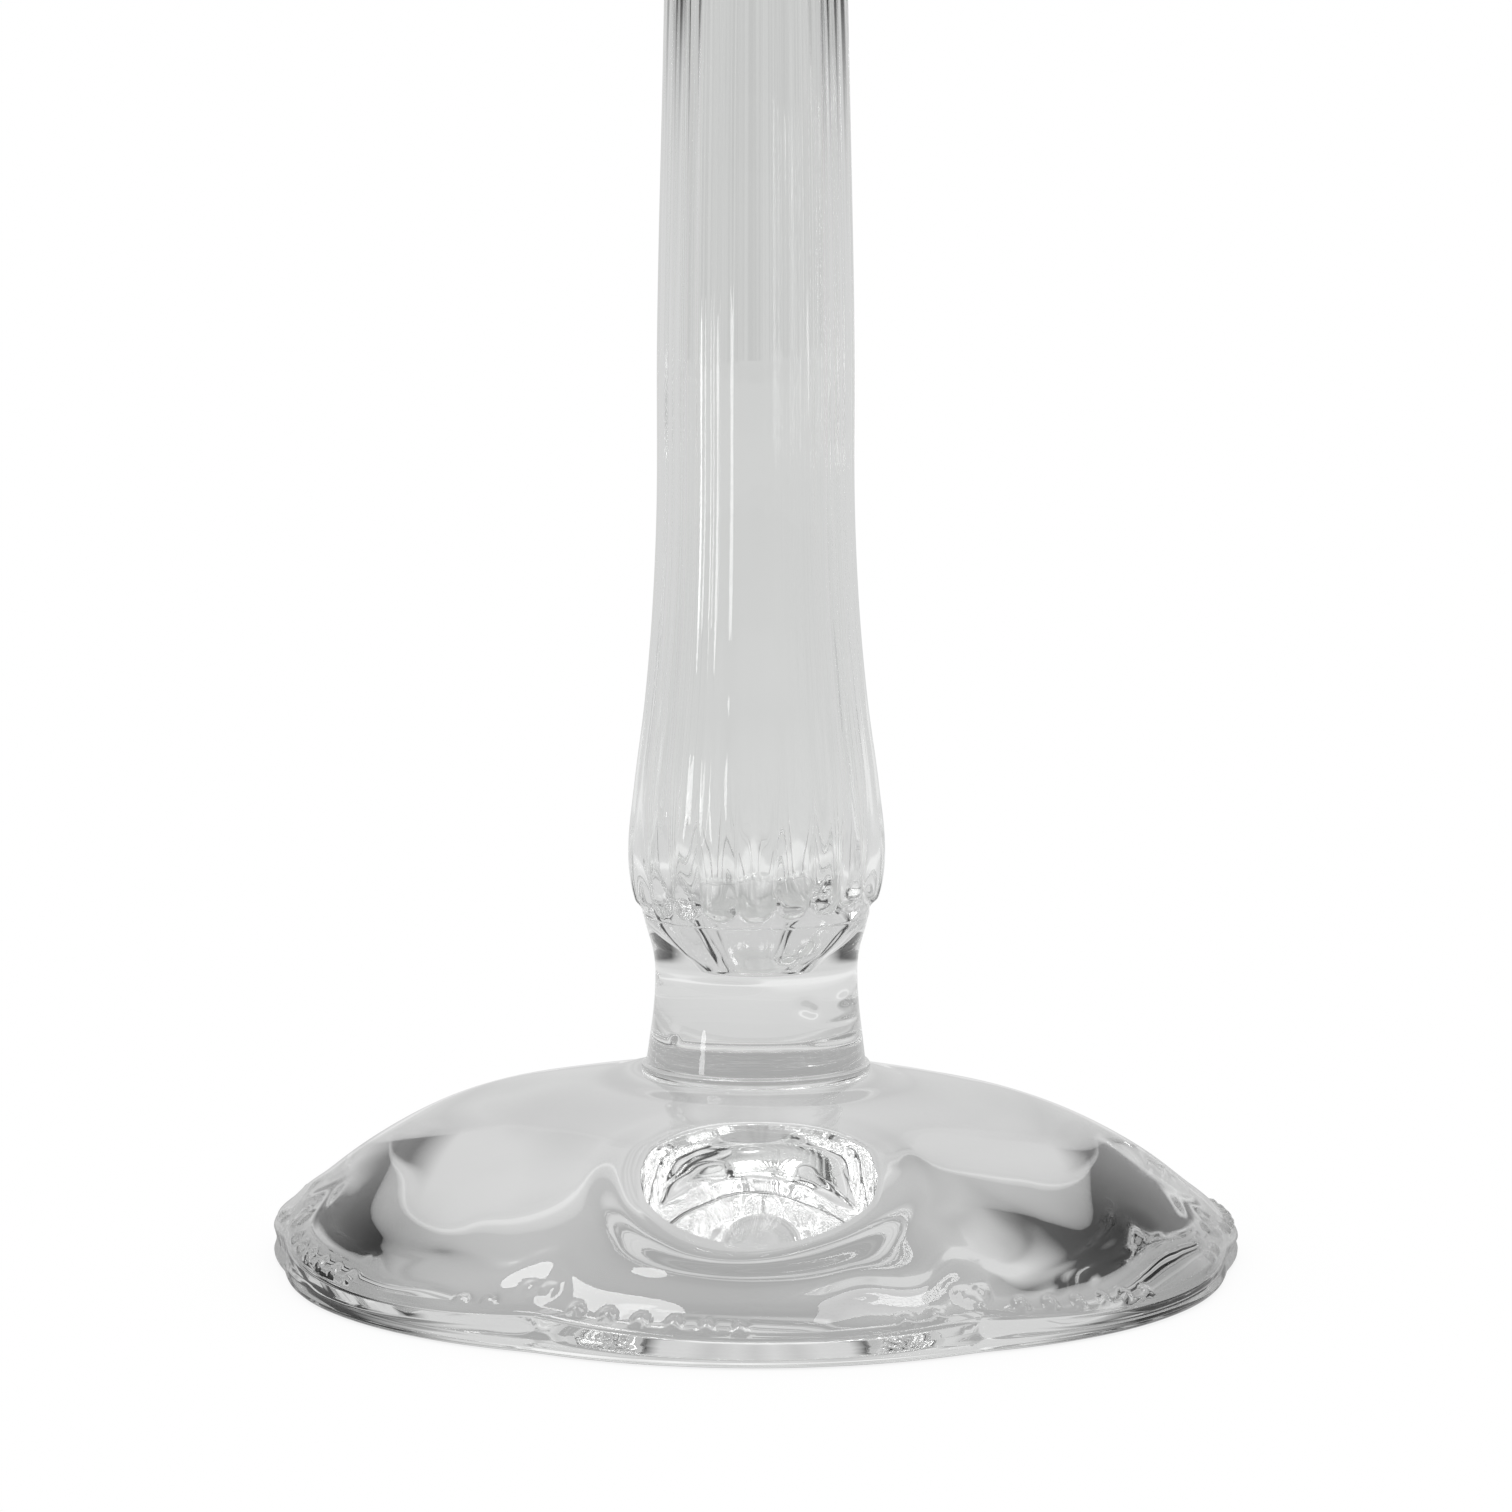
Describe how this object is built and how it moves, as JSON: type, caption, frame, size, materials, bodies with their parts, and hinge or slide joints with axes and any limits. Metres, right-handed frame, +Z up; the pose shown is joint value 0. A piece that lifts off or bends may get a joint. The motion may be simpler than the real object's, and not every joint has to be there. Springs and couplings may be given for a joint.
{
  "type": "glass candlestick",
  "caption": "Tall clear glass candlestick: lobed relief foot, waisted neck, hollow reeded stem, lobed drip pan and candle nozzle.",
  "frame": {"origin": "centre of the ring the foot stands on", "axes": "+Z up along the axis of the stem, towards the candle; -Y is the front, in the middle of a lobe of the foot"},
  "size_m": [0.1214, 0.1208, 0.238],
  "materials": {
    "clear_glass": "fire polished, clear",
    "blown_glass": "fire polished, clear, softly wavy",
    "pressed_glass": "fire polished, clear, with relief at the rim"
  },
  "bodies": {
    "root": {"foot": "pressed_glass", "foot_wafer": "clear_glass", "lower_neck": "clear_glass", "stem": "blown_glass", "upper_neck": "clear_glass", "drip_pan": "pressed_glass", "candle_socket": "clear_glass"}
  },
  "joints": []
}
